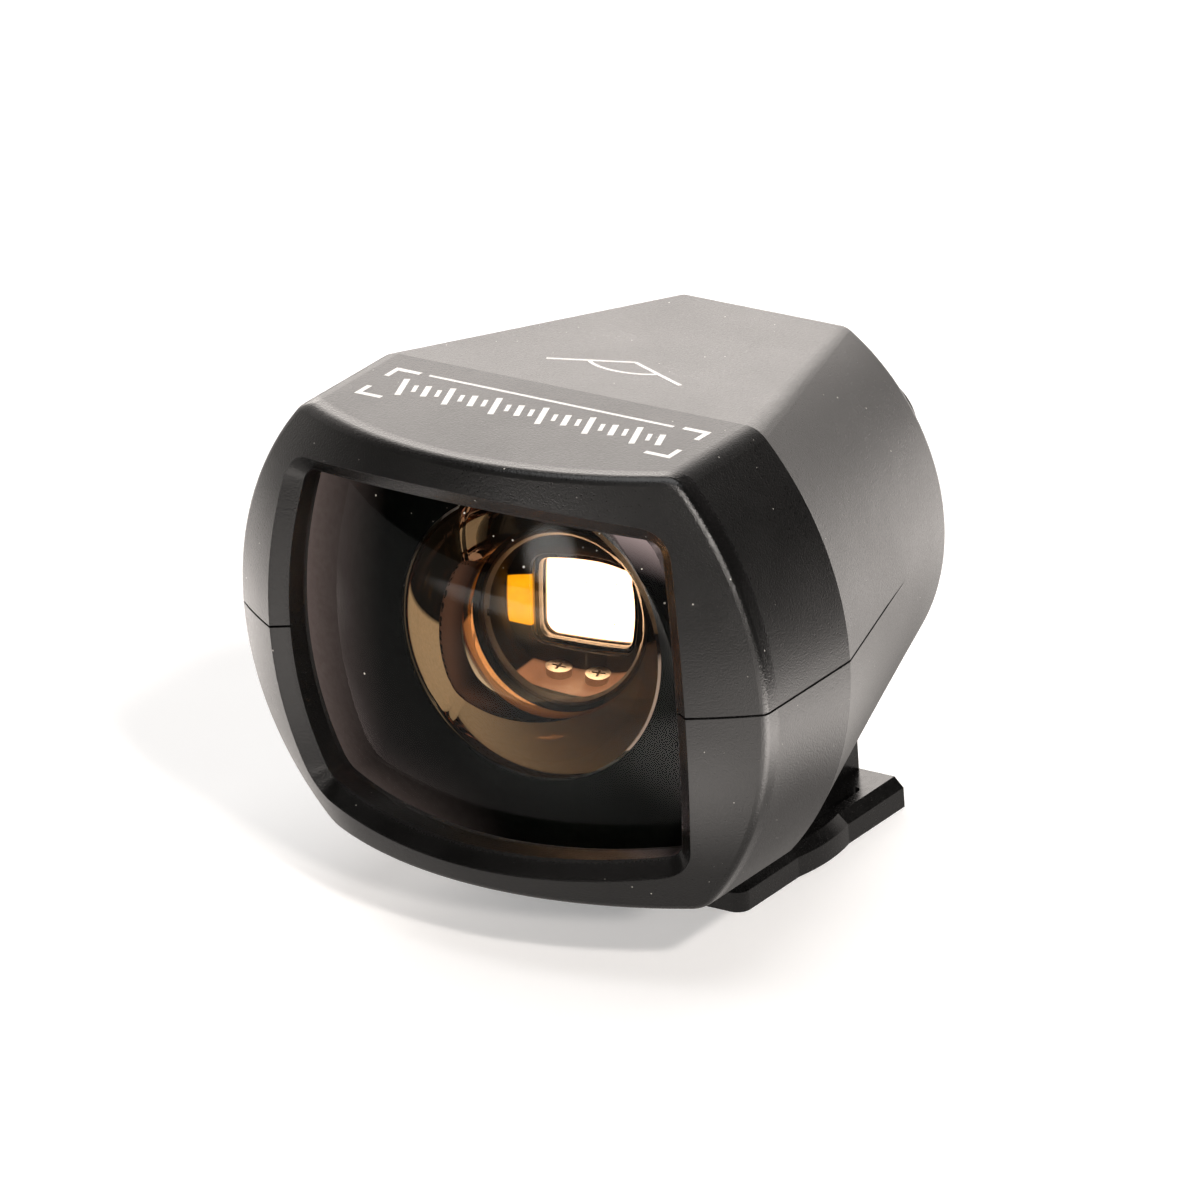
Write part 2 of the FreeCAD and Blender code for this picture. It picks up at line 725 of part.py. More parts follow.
def eyepiece_glass(name, label, y_from, y_to, back_radius):
    """A rectangular-cut lens, flat in front and domed behind, with the dome's top at y_to."""
    blank = pad_along_y(name + "_blank", round_rectangle(
        c.eye_edge_x, c.eye_edge_z, c.glass_corner), y_from, y_to)
    dome = sphere(name + "_back", back_radius, Size.of(y_to) - back_radius)
    return node(common(name, blank, dome), label)


eye_reach = (c.eye_edge_x * c.eye_edge_x + c.eye_edge_z * c.eye_edge_z).root() \
    - c.glass_corner * (2 ** 0.5 - 1)
field_back = c.field_from + c.field_edge + sag(c.field_radius, eye_reach)
spacer_back = field_back + c.spacer_depth
eye_back = spacer_back + c.eye_edge + sag(c.eye_radius, eye_reach)


def eye_spacer():
    """The ring between the two lenses of the eyepiece, hollowed to sit on the first one's dome."""
    outer = pad_along_y("spacer_outer", round_rectangle(
        c.eye_edge_x, c.eye_edge_z, c.glass_corner), c.field_from + c.field_edge, spacer_back)
    inner = pad_along_y("spacer_inner", round_rectangle(
        c.spacer_hole_x, c.spacer_hole_z, c.glass_corner), c.field_from, spacer_back + PAST)
    dome = sphere("spacer_seat", c.field_radius, field_back - c.field_radius)
    return node(cut("spacer_body", outer, inner, dome), "eye_spacer")


def eye_bezel():
    """The frame around the eyepiece: a collar inside the opening and a proud, soft-edged rim."""
    proud = c.rear_end + c.bezel_proud
    rim = pad_along_y("bezel_rim", round_rectangle(
        c.bezel_half_x, c.bezel_half_z, c.bezel_corner), c.rear_end, proud)

    def outer_edge(edge):
        return all(abs(v.Y - proud.value) < NEAR for v in edge.Vertexes)

    soft = soften("bezel_softened", "Part::Fillet", rim, c.bezel_soft, outer_edge)
    collar = pad_along_y("bezel_collar", round_rectangle(
        c.tube_half_x, c.tube_half_z, c.tube_corner), tube_end, c.rear_end + c.bezel_proud / 2)
    hole = pad_along_y("bezel_hole", round_rectangle(
        c.bezel_hole_x, c.bezel_hole_z, c.glass_corner), tube_end - PAST, proud + PAST)
    return node(cut("bezel_body", fuse("bezel_blank", soft, collar), hole), "eye_bezel")


upper_shell()
lower_shell()
shoe_foot()
screws("foot_screw_group", "foot_screws", foot_sides, c.screw_radius - c.screw_play,
       c.head_radius, c.screw_y, c.floor_top - c.screw_length + c.blind_end, c.floor_top,
       c.head_height, True, c.drive_depth)
screws("case_screw_group", "case_screws", case_sides, c.case_radius - c.screw_play,
       c.case_head_radius - c.head_play, c.case_screw_y, case_seat + c.case_length - c.blind_end,
       case_seat, c.case_head_height, False, c.case_drive_depth)
front_lens()
lens_seal()
lens_mask()
lens_cell()
second_lens()
cell_ring()
baffle("front_baffle", c.front_baffle_at, c.front_hole_x, c.front_hole_z)
baffle("rear_baffle", c.rear_baffle_at, c.rear_hole_x, c.rear_hole_z)
frame_plate()
frame_line()
eye_tube()
eyepiece_glass("field_glass", "field_lens", c.field_from, field_back, c.field_radius)
eye_spacer()
eyepiece_glass("eye_glass", "eye_lens", spacer_back, eye_back, c.eye_radius)
eye_bezel()

# ------------------------------------------------------------------------------- checks and export
doc.recompute()
for thing in doc.Objects:
    if "Invalid" in thing.State or "Error" in thing.State:
        raise RuntimeError("%s is %s" % (thing.Name, thing.State))
for thing in nodes:
    if thing.Shape.isNull() or not thing.Shape.isValid():
        raise RuntimeError("%s has no valid shape" % thing.Label)

os.makedirs("parts", exist_ok=True)
for thing in nodes:
    thing.Shape.exportStep("parts/%s.step" % thing.Label)
    bounds = thing.Shape.BoundBox
    print("%-13s solids %d  volume %9.2f  x %6.2f..%6.2f  y %6.2f..%6.2f  z %6.2f..%6.2f" % (
        thing.Label, len(thing.Shape.Solids), thing.Shape.Volume, bounds.XMin, bounds.XMax,
        bounds.YMin, bounds.YMax, bounds.ZMin, bounds.ZMax))
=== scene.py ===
"""Looks of the accessory-shoe viewfinder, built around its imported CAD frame."""
import math

import bmesh
import bpy
from mathutils import Matrix, Vector


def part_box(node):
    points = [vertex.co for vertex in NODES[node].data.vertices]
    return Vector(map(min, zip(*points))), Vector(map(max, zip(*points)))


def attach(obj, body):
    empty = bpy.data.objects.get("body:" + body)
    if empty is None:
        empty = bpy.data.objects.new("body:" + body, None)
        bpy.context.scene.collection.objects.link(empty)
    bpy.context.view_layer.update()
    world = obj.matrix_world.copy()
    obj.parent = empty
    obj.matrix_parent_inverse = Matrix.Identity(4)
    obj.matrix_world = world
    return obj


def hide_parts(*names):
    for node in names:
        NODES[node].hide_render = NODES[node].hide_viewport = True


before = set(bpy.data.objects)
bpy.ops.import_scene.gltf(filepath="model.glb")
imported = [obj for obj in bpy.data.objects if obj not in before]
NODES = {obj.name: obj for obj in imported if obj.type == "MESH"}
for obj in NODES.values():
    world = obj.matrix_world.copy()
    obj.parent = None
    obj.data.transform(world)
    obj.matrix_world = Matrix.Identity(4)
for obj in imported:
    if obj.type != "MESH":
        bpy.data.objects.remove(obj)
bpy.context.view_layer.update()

MM = 0.001
scene = bpy.context.scene


# ---------------------------------------------------------------- places read from the frame
GLASS_LOW, GLASS_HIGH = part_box("front_lens")
AXIS_Z = ((GLASS_LOW + GLASS_HIGH) / 2).z
SHELL_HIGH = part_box("upper_shell")[1]
TOP_Z = SHELL_HIGH.z

# sizes of the CAD that its boxes don't give
RIM_Y = -16.9 * MM                   # where the shell's bowed sides meet its domed front
CREASE_Y = -8.6 * MM                 # where the shell starts to taper
REAR_Y = 10.8 * MM                   # the shell's rear face
REAR_TOP_Z = AXIS_Z + 10.9 * MM      # the top of the shell there
CAVITY_FLOOR = 8.6 * MM              # height of the floor inside the lower shell
DOME_R = 29.1 * MM                   # the sphere of the shell's domed front
DOME_Y = RIM_Y + math.sqrt(DOME_R ** 2 - SHELL_HIGH.x ** 2)    # and its centre
LENS_R = 28.0 * MM                   # the sphere of the front lens's dome
BOWL_R, BOWL_RIM = 7.4 * MM, 6.93 * MM     # the sphere of its hollow, and the rim's radius
SIDE_BOW, TOP_BOW = 1.15 * MM, 1.0 * MM    # how far its sides and top bow out
SECOND_BACK_R = 50.0 * MM            # the sphere of the second lens's hollow back
FIELD_R, EYE_R = 28.0 * MM, 34.0 * MM      # the spheres of the two eyepiece lenses
GLASS_CORNER = 2.0 * MM              # the round corners of the rectangular lenses


# ---------------------------------------------------------------- small node-tree helpers
class Tree:
    """A material's or world's node tree, with short ways to add to it."""

    def __init__(self, owner):
        owner.use_nodes = True
        self.tree = owner.node_tree
        self.tree.nodes.clear()

    def add(self, kind, settings=None, **inputs):
        node = self.tree.nodes.new(kind)
        for name, value in (settings or {}).items():
            setattr(node, name, value)
        for name, value in inputs.items():
            self.feed(node, name.replace("_", " "), value)
        return node

    def feed(self, node, name, value):
        socket = node.inputs[int(name)] if name.isdigit() else node.inputs[name]
        if isinstance(value, bpy.types.NodeSocket):
            self.tree.links.new(value, socket)
        else:
            socket.default_value = value

    def coords(self):
        return self.add("ShaderNodeTexCoord").outputs["Object"]

    def xyz(self):
        """The object's coordinates, one by one."""
        return self.add("ShaderNodeSeparateXYZ", Vector=self.coords()).outputs

    def distance(self, coords, centre):
        node = self.add("ShaderNodeVectorMath", {"operation": "DISTANCE"},
                        **{"0": coords, "1": centre})
        return node.outputs["Value"]

    def noise(self, scale, detail=2.0, roughness=0.5):
        node = self.add("ShaderNodeTexNoise", Scale=scale, Detail=detail, Roughness=roughness,
                        Vector=self.coords())
        return node.outputs["Fac"]

    def ramp(self, value, stops):
        node = self.add("ShaderNodeValToRGB", Fac=value)
        ramp = node.color_ramp
        while len(ramp.elements) < len(stops):
            ramp.elements.new(0.5)
        for element, (place, colour) in zip(ramp.elements, stops):
            element.position = place
            element.color = colour if len(colour) == 4 else (*colour, 1.0)
        return node.outputs["Color"]

    def math(self, operation, a, b=0.0):
        node = self.add("ShaderNodeMath", {"operation": operation})
        self.feed(node, "0", a)
        self.feed(node, "1", b)
        return node.outputs[0]

    def range(self, value, low, high, to_low, to_high):
        node = self.add("ShaderNodeMapRange", Value=value, From_Min=low, From_Max=high,
                        To_Min=to_low, To_Max=to_high)
        return node.outputs["Result"]

    def fade(self, value, none_at, full_at):
        """0 at one value, 1 at the other, and even between them."""
        return self.range(value, none_at, full_at, 0.0, 1.0)

    def specks(self, scale, size):
        """1 inside small scattered dots and 0 elsewhere. The size is in cells."""
        cells = self.add("ShaderNodeTexVoronoi", Scale=scale, Vector=self.coords())
        uneven = self.range(self.noise(900.0, 1.0), 0.4, 0.65, 0.25, 1.0)
        return self.math("LESS_THAN", cells.outputs["Distance"],
                         self.math("MULTIPLY", uneven, size))

    def mix(self, share, one, two):
        """A colour between two."""
        node = self.add("ShaderNodeMix", {"data_type": "RGBA"},
                        **{"0": share, "6": one, "7": two})
        return node.outputs[2]

    def mix_value(self, share, one, two):
        node = self.add("ShaderNodeMix", {"data_type": "FLOAT"},
                        **{"0": share, "2": one, "3": two})
        return node.outputs[0]

    def mix_shader(self, share, one, two):
        return self.add("ShaderNodeMixShader", **{"0": share, "1": one, "2": two}).outputs[0]

    def bump(self, height, distance):
        node = self.add("ShaderNodeBump", Height=height, Distance=distance, Strength=1.0)
        return node.outputs["Normal"]

    def surface(self, shader):
        out = self.add("ShaderNodeOutputMaterial")
        self.tree.links.new(shader, out.inputs["Surface"])


def new_material(name):
    material = bpy.data.materials.new(name)
    return material, Tree(material)


def grey(value, warm=0.0):
    return (value * (1 + warm), value, value * (1 - warm), 1.0)


PLASTIC_WARMTH = 0.02
DUST_COLOUR = (0.5, 0.48, 0.44, 1)


def worn_edge(t):
    """How much smoother the shell is along the edge of its domed front."""
    depth_in = t.math("SUBTRACT", DOME_R, t.distance(t.coords(), (0, DOME_Y, AXIS_Z)))
    return t.math("MULTIPLY", t.range(depth_in, 0.02 * MM, 0.15 * MM, 0.0, 0.2),
                  t.fade(depth_in, 1.0 * MM, 0.7 * MM))


def painted_floor_light(t):
    """1 on the floor inside the lower shell, in front of its rear part, where light is painted,
    and 0 elsewhere.
    """
    xyz = t.xyz()
    beside = t.math("ABSOLUTE", xyz["X"])
    off_floor = t.math("ABSOLUTE", t.math("SUBTRACT", xyz["Z"], CAVITY_FLOOR))
    return t.math("MULTIPLY", t.fade(beside, 8.0 * MM, 7.5 * MM),
                  t.math("MULTIPLY", t.fade(off_floor, 0.3 * MM, 0.2 * MM),
                         t.fade(xyz["Y"], 3.5 * MM, 2.0 * MM)))


def moulded(name, dark, light, roughness, grain, depth, dusty=False, shine=0.5):
    """Moulded plastic: fine grain in the skin and slow colour change. A dusty one is the case's,
    with specks of dust, a worn front edge and painted light on the floor inside: a warm glow where
    light from the lenses falls."""
    material, t = new_material(name)
    slow = t.noise(260.0, 3.0)
    colour = t.ramp(slow, [(0.3, grey(dark, PLASTIC_WARMTH)), (0.7, grey(light, PLASTIC_WARMTH))])
    fine = t.noise(grain, 2.0, 0.6)
    handled = t.noise(140.0, 4.0, 0.6)
    rough = t.math("ADD", t.range(fine, 0.25, 0.75, roughness - 0.05, roughness + 0.07),
                   t.range(handled, 0.3, 0.7, -0.02, 0.03))
    if dusty:
        colour = t.mix(t.specks(1100.0, 0.055), colour, DUST_COLOUR)
        rough = t.math("SUBTRACT", rough, worn_edge(t))
    shader = t.add("ShaderNodeBsdfPrincipled", Base_Color=colour, Roughness=rough,
                   Normal=t.bump(fine, depth), Specular_IOR_Level=shine)
    if dusty:
        # painted light: the floor inside the case glows warm, where light from the lenses falls
        t.feed(shader, "Emission Color", t.ramp(slow, [(0.3, (0.20, 0.125, 0.10)),
                                                       (0.7, (0.30, 0.19, 0.15))]))
        t.feed(shader, "Emission Strength", t.math("MULTIPLY", painted_floor_light(t), 1.5))
    t.surface(shader.outputs[0])
    return material


def paint_node(name, material):
    mesh = NODES[name].data
    mesh.materials.clear()
    mesh.materials.append(material)


# ---------------------------------------------------------------- materials
DENSE_GLASS, PLAIN_GLASS = 1.72, 1.5    # the glasses' refractive indices
shell_plastic = moulded("shell_plastic", 0.004, 0.007, 0.31, 9000.0, 0.00002, dusty=True)
foot_plastic = moulded("foot_plastic", 0.003, 0.005, 0.22, 2500.0, 0.0000015)
inner_black = moulded("inner_black", 0.012, 0.018, 0.55, 7000.0, 0.00002)
seal_rubber = moulded("seal_rubber", 0.012, 0.016, 0.6, 4000.0, 0.00002)
ring_metal = moulded("ring_metal", 0.10, 0.14, 0.35, 5000.0, 0.00001)
black_steel = moulded("black_steel", 0.02, 0.03, 0.3, 5000.0, 0.00001)
line_paint = moulded("line_paint", 0.6, 0.7, 0.6, 5000.0, 0.00001)
tunnel_black = moulded("tunnel_black", 0.012, 0.018, 0.16, 3000.0, 0.000001)


def steel_material():
    material, t = new_material("steel")
    fine = t.noise(4000.0, 2.0, 0.6)
    shader = t.add("ShaderNodeBsdfPrincipled", Base_Color=(0.62, 0.6, 0.56, 1), Metallic=1.0,
                   Roughness=t.range(fine, 0.2, 0.8, 0.22, 0.4), Normal=t.bump(fine, 0.00001))
    t.surface(shader.outputs[0])
    return material


def dust_on_glass(t, glass):
    """Dots of dust on the glass, thickest in its upper right corner."""
    xyz = t.xyz()
    corner = t.math("ADD", t.range(xyz["X"], 6.0 * MM, 13.5 * MM, 0.0, 0.5),
                    t.range(xyz["Z"], AXIS_Z - 4.0 * MM, AXIS_Z + 10.0 * MM, 0.0, 0.5))
    cells = t.add("ShaderNodeTexVoronoi", Scale=2400.0, Vector=t.coords())
    pick = t.add("ShaderNodeSeparateColor", Color=cells.outputs["Color"]).outputs
    chosen = t.math("LESS_THAN", pick[0], t.range(corner, 0.3, 1.0, 0.004, 0.7))
    inside = t.math("LESS_THAN", cells.outputs["Distance"],
                    t.range(pick[1], 0.0, 1.0, 0.06, 0.17))
    dirt = t.add("ShaderNodeBsdfDiffuse", Color=(0.75, 0.70, 0.62, 1)).outputs[0]
    return t.mix_shader(t.math("MULTIPLY", chosen, inside), glass, dirt)


def glass_material(name, tint, mirror, base, power, ior=PLAIN_GLASS, grazing=None, dusty=False):
    """Coated glass. Reflection starts at base and follows Fresnel to a power, so that it is weak
    face on and total past the critical angle. mirror is the coating's reflected colour, and
    grazing what it becomes at a glance."""
    material, t = new_material(name)
    fresnel = t.add("ShaderNodeFresnel", IOR=ior).outputs[0]
    share = t.math("ADD", t.math("MULTIPLY", t.math("POWER", fresnel, power), 1 - base), base)
    if grazing:
        mirror = t.mix(t.fade(fresnel, 0.08, 0.2), mirror, grazing)
    clear = t.add("ShaderNodeBsdfRefraction", Color=tint, Roughness=0.0, IOR=ior).outputs[0]
    shine = t.add("ShaderNodeBsdfAnisotropic", Color=mirror, Roughness=0.0).outputs[0]
    glass = t.mix_shader(share, clear, shine)
    t.surface(dust_on_glass(t, glass) if dusty else glass)
    return material


def lens_edge_material():
    """The lens's side wall from inside: polished, so it mirrors at a glance. Face on it shows
    painted light and painted reflection: below the axis a light warm grey that glows, most on the
    left, and black above the axis."""
    material, t = new_material("lens_edge")
    xyz = t.xyz()
    # painted reflection: light warm grey below the axis, black above it
    painted_glow = t.ramp(t.noise(2500.0, 3.0), [(0.3, (0.50, 0.44, 0.36)), (0.7, (0.60, 0.53, 0.45))])
    below = t.fade(xyz["Z"], AXIS_Z + 0.3 * MM, AXIS_Z - 0.3 * MM)
    colour = t.mix(below, grey(0.006), painted_glow)
    # painted light: the glow is strongest on the left and fades out to the right
    lit = t.ramp(t.fade(xyz["X"], -14.0 * MM, 14.0 * MM),
                 [(0.0, grey(1.0)), (0.3, grey(0.5)), (0.55, grey(0.12)), (0.8, grey(0.01))])
    painted_glow_wall = t.add("ShaderNodeBsdfPrincipled", Base_Color=colour, Roughness=0.9,
                 Emission_Color=colour, Emission_Strength=t.math("MULTIPLY", lit, 0.8))
    shine = t.add("ShaderNodeBsdfAnisotropic", Color=(1, 1, 1, 1), Roughness=0.0)
    fresnel = t.add("ShaderNodeFresnel", IOR=PLAIN_GLASS).outputs[0]
    t.surface(t.mix_shader(fresnel, painted_glow_wall.outputs[0], shine.outputs[0]))
    return material


def mask_material():
    """Dead black card with painted light along its left and lower left rim, where light from the
    side gets in: the card glows there."""
    material, t = new_material("mask_black")
    xyz = t.xyz()
    left = t.fade(xyz["X"], -8.0 * MM, -13.5 * MM)
    low = t.math("MULTIPLY", t.fade(xyz["Z"], AXIS_Z - 6.5 * MM, AXIS_Z - 11.0 * MM),
                 t.fade(xyz["X"], -2.0 * MM, -11.0 * MM))
    # painted light: how strongly the left and lower left rim glow
    painted_glow = t.math("POWER", t.math("MAXIMUM", left, low), 1.6)
    fibre = t.noise(3000.0, 3.0)
    colour = t.ramp(fibre, [(0.3, grey(0.003)), (0.7, grey(0.006))])
    glow = t.ramp(fibre, [(0.3, (0.110, 0.074, 0.072)), (0.7, (0.125, 0.086, 0.084))])
    shader = t.add("ShaderNodeBsdfPrincipled", Base_Color=colour, Roughness=0.8,
                   Specular_IOR_Level=0.08, Emission_Color=glow, Emission_Strength=painted_glow)
    t.surface(shader.outputs[0])
    return material


def baffle_material():
    """Black card behind the lenses, with a painted reflection beside its window: an amber glow
    that stands in for the light that comes off the coated lens in front of it."""
    material, t = new_material("baffle_black")
    xyz = t.xyz()
    tall = t.math("ABSOLUTE", t.math("SUBTRACT", xyz["Z"], AXIS_Z - 0.4 * MM))
    # painted reflection: where the amber glow lies beside the window
    painted_reflection = t.math("MULTIPLY", t.fade(tall, 3.6 * MM, 3.4 * MM),
                   t.math("MULTIPLY", t.fade(xyz["X"], -12.2 * MM, -11.8 * MM),
                          t.fade(xyz["X"], -6.6 * MM, -6.8 * MM)))
    fine = t.noise(700.0, 3.0)
    colour = t.ramp(fine, [(0.3, grey(0.012)), (0.7, grey(0.018))])
    glow = t.ramp(fine, [(0.3, (1.3, 0.72, 0.010)), (0.7, (1.6, 0.95, 0.02))])
    shader = t.add("ShaderNodeBsdfPrincipled", Base_Color=colour, Roughness=0.55,
                   Emission_Color=glow, Emission_Strength=painted_reflection)
    t.surface(shader.outputs[0])
    return material


mask_black = mask_material()
baffle_black = baffle_material()
steel = steel_material()
print_white = moulded("print_white", 0.84, 0.95, 0.5, 14000.0, 0.000004)
ground_edge = moulded("ground_edge", 0.003, 0.005, 0.7, 6000.0, 0.000002, shine=0.08)
lens_edge = lens_edge_material()
front_coat = glass_material("front_coat", (1, 1, 1, 1), (0.72, 0.76, 0.78, 1), 0.001, 1.65,
                            DENSE_GLASS, (1.0, 0.82, 0.84, 1), dusty=True)
flat_coat = glass_material("flat_coat", (0.9, 1.0, 0.93, 1), (1, 1, 1, 1), 0.0, 2.6, DENSE_GLASS)
bowl_coat = glass_material("bowl_coat", (1.0, 0.62, 0.34, 1), (0.64, 0.46, 0.27, 1), 0.08, 1.2,
                           DENSE_GLASS)
clear_glass = glass_material("clear_glass", (1, 1, 1, 1), (0.8, 0.8, 1.0, 1), 0.003, 1.3)
for names, material in (
    (("upper_shell", "lower_shell", "eye_bezel"), shell_plastic),
    (("shoe_foot",), foot_plastic),
    (("foot_screws",), steel),
    (("case_screws",), black_steel),
    (("lens_seal",), seal_rubber),
    (("lens_mask",), mask_black),
    (("front_baffle",), inner_black),
    (("rear_baffle",), baffle_black),
    (("lens_cell", "frame_plate", "eye_tube", "eye_spacer"), tunnel_black),
    (("cell_ring",), ring_metal),
    (("frame_line",), line_paint),
    (("second_lens", "field_lens", "eye_lens"), clear_glass),
):
    for node_name in names:
        paint_node(node_name, material)


# ---------------------------------------------------------------- glass with exact round surfaces
STEPS = 256          # points round the axis
HALVINGS = 40        # steps in the search for an outline
CORNER_SLACK = 1.05  # lets the bowed sides run into the front lens's corners
LENS_APEX = GLASS_LOW.y
LENS_BACK = GLASS_HIGH.y - 0.02 * MM    # clear of the mask that the CAD lens touches
DOME_ROWS, WALL_ROWS, FLAT_ROWS, BOWL_ROWS = 40, 6, 8, 40
DISC_ROWS, EYE_ROWS, BACK_ROWS = 6, 8, 24


def sag(radius, r):
    """How far a sphere of that radius has fallen back at distance r from its top."""
    return radius - math.sqrt(radius * radius - r * r)


def row(reach, y_at, share=1.0):
    """A row of points around the axis. reach is their distance from it in each direction."""
    points = []
    for k, far in enumerate(reach):
        angle, r = 2 * math.pi * k / len(reach), far * share
        points.append((r * math.cos(angle), y_at(r), AXIS_Z + r * math.sin(angle)))
    return points


def finish_mesh(name, bm, smooth=True):
    mesh = bpy.data.meshes.new(name)
    bm.to_mesh(mesh)
    bm.free()
    for face in mesh.polygons:
        face.use_smooth = smooth
    obj = bpy.data.objects.new(name, mesh)
    scene.collection.objects.link(obj)
    return obj


def stack(name, bands, materials):
    """A closed body of rows of points. A band is its material's number and its rows, and each
    band goes on from the last row of the band before. Edges between bands are sharp."""
    bm = bmesh.new()
    before, rims = None, []
    for band, (number, rows) in enumerate(bands):
        for points in rows:
            now = [bm.verts.new(point) for point in points]
            if before is not None:
                count = max(len(before), len(now))
                for k in range(count):
                    j = (k + 1) % count
                    if len(before) == 1:
                        face = bm.faces.new((before[0], now[k], now[j]))
                    elif len(now) == 1:
                        face = bm.faces.new((before[k], before[j], now[0]))
                    else:
                        face = bm.faces.new((before[k], now[k], now[j], before[j]))
                    face.material_index = number
            before = now
        if band < len(bands) - 1:
            rims += [(before[k - 1], before[k]) for k in range(len(before))]
    bmesh.ops.recalc_face_normals(bm, faces=bm.faces)
    for pair in rims:
        bm.edges.get(pair).smooth = False
    obj = finish_mesh(name, bm)
    for material in materials:
        obj.data.materials.append(material)
    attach(obj, "root")
    return obj


def outline_reach(within, limit):
    """An outline as its distances from the axis. within says if a point is inside it."""
    reach = []
    for k in range(STEPS):
        ux, uz = (abs(f(2 * math.pi * k / STEPS)) for f in (math.cos, math.sin))
        low, high = 0.0, limit
        for _ in range(HALVINGS):
            r = (low + high) / 2
            low, high = (r, high) if within(r * ux, r * uz) else (low, r)
        reach.append(low)
    return reach


def cut_corner(x, z, corner_x, corner_z, slack=1.0):
    """Whether the round corner takes the point away."""
    dx, dz = x - (corner_x - GLASS_CORNER), z - (corner_z - GLASS_CORNER)
    return dx > 0 and dz > 0 and math.hypot(dx, dz) > GLASS_CORNER * slack


def window_reach():
    """The front lens's outline: bowed sides and round corners."""
    half_x = (GLASS_HIGH.x - GLASS_LOW.x) / 2
    half_z = (GLASS_HIGH.z - GLASS_LOW.z) / 2
    corner_x, corner_z = half_x - SIDE_BOW, half_z - TOP_BOW

    def within(x, z):
        return (x <= half_x - (half_x - corner_x) * (z / corner_z) ** 2
                and z <= half_z - (half_z - corner_z) * (x / corner_x) ** 2
                and not cut_corner(x, z, corner_x, corner_z, CORNER_SLACK))

    return outline_reach(within, 2 * half_x)


def rectangle_reach(half_x, half_z):
    """A round-cornered rectangle."""
    def within(x, z):
        return x <= half_x and z <= half_z and not cut_corner(x, z, half_x, half_z)

    return outline_reach(within, 2 * half_x)


def front_glass():
    """The front lens: domed front, outline of the window, flat back with a round bowl."""
    reach = window_reach()
    dome = [[(0, LENS_APEX, AXIS_Z)]]
    dome += [row(reach, lambda r: LENS_APEX + sag(LENS_R, r), i / DOME_ROWS)
             for i in range(1, DOME_ROWS + 1)]
    wall = [[(x, y + (LENS_BACK - y) * i / WALL_ROWS, z) for x, y, z in dome[-1]]
            for i in range(1, WALL_ROWS + 1)]
    flat = [row([r + (BOWL_RIM - r) * i / FLAT_ROWS for r in reach], lambda r: LENS_BACK)
            for i in range(1, FLAT_ROWS + 1)]
    tilt = math.asin(BOWL_RIM / BOWL_R)
    centre = LENS_BACK + BOWL_R * math.cos(tilt)
    bowl = []
    for i in range(1, BOWL_ROWS):
        angle = tilt * (1 - i / BOWL_ROWS)
        deep = centre - BOWL_R * math.cos(angle)
        bowl.append(row([BOWL_R * math.sin(angle)] * STEPS, lambda r, deep=deep: deep))
    bowl.append([(0, centre - BOWL_R, AXIS_Z)])
    glass = stack("front_glass", [(0, dome), (1, wall), (2, flat), (3, bowl)],
                  (front_coat, lens_edge, flat_coat, bowl_coat))
    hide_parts("front_lens")


def second_glass():
    """The lens in the cell: flat in front and slightly hollow behind."""
    low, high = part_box("second_lens")
    whole = [(high.x - low.x) / 2] * STEPS
    front = [[(0, low.y, AXIS_Z)]]
    front += [row(whole, lambda r: low.y, i / DISC_ROWS) for i in range(1, DISC_ROWS + 1)]
    top = high.y - sag(SECOND_BACK_R, whole[0])
    back = [row(whole, lambda r: top + sag(SECOND_BACK_R, r), 1 - i / BACK_ROWS)
            for i in range(BACK_ROWS)]
    back.append([(0, top, AXIS_Z)])
    glass = stack("second_glass", [(0, front), (1, back[:1]), (0, back[1:])],
                  (clear_glass, ground_edge))
    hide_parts("second_lens")


def eyepiece_glass(node, radius):
    """A rectangular-cut lens of the eyepiece, flat in front and domed behind."""
    low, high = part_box(node)
    reach = rectangle_reach((high.x - low.x) / 2, (high.z - low.z) / 2)
    front = [[(0, low.y, AXIS_Z)]]
    front += [row(reach, lambda r: low.y, i / EYE_ROWS) for i in range(1, EYE_ROWS + 1)]
    back = [row(reach, lambda r: high.y - sag(radius, r), 1 - i / BACK_ROWS)
            for i in range(BACK_ROWS)]
    back.append([(0, high.y, AXIS_Z)])
    glass = stack("smooth_" + node, [(0, front), (1, back[:1]), (0, back[1:])],
                  (clear_glass, ground_edge))
    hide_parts(node)


front_glass()
second_glass()
eyepiece_glass("field_lens", FIELD_R)
eyepiece_glass("eye_lens", EYE_R)


# ---------------------------------------------------------------- white printing on the top
SUNK, PROUD = -0.02, 0.003    # the paint's underside and top from the shell's, in millimetres
MITRE_LIMIT = 0.4             # keeps the mitre of a sharp bend short


def top_height(y):
    """The height of the shell's top: level in front of the crease, sloping behind it."""
    share = max(0.0, (y - CREASE_Y) / (REAR_Y - CREASE_Y))
    return TOP_Z + (REAR_TOP_Z - TOP_Z) * share


def stroke(bm, points, width, closed=False):
    """A line of paint through the points, given in millimetres as x and y."""
    points = [Vector(point) * MM for point in points]
    rings, count = [], len(points)
    for i, point in enumerate(points):
        ahead = points[(i + 1) % count] if closed or i < count - 1 else None
        behind = points[i - 1] if closed or i > 0 else None
        one = (ahead - point).normalized() if ahead else (point - behind).normalized()
        two = (point - behind).normalized() if behind else one
        along = (one + two).normalized()
        side = Vector((-along.y, along.x)) * (width * MM / 2 / max(MITRE_LIMIT, along.dot(one)))
        ring = []
        for edge, lift in ((side, SUNK), (side, PROUD), (-side, PROUD), (-side, SUNK)):
            x, y = point + edge
            ring.append(bm.verts.new((x, y, top_height(y) + lift * MM)))
        rings.append(ring)
    pairs = list(zip(rings, rings[1:])) + ([(rings[-1], rings[0])] if closed else [])
    for a, b in pairs:
        for k in range(4):
            bm.faces.new((a[k], b[k], b[(k + 1) % 4], a[(k + 1) % 4]))
    if not closed:
        bm.faces.new(rings[0][::-1])
        bm.faces.new(rings[-1])


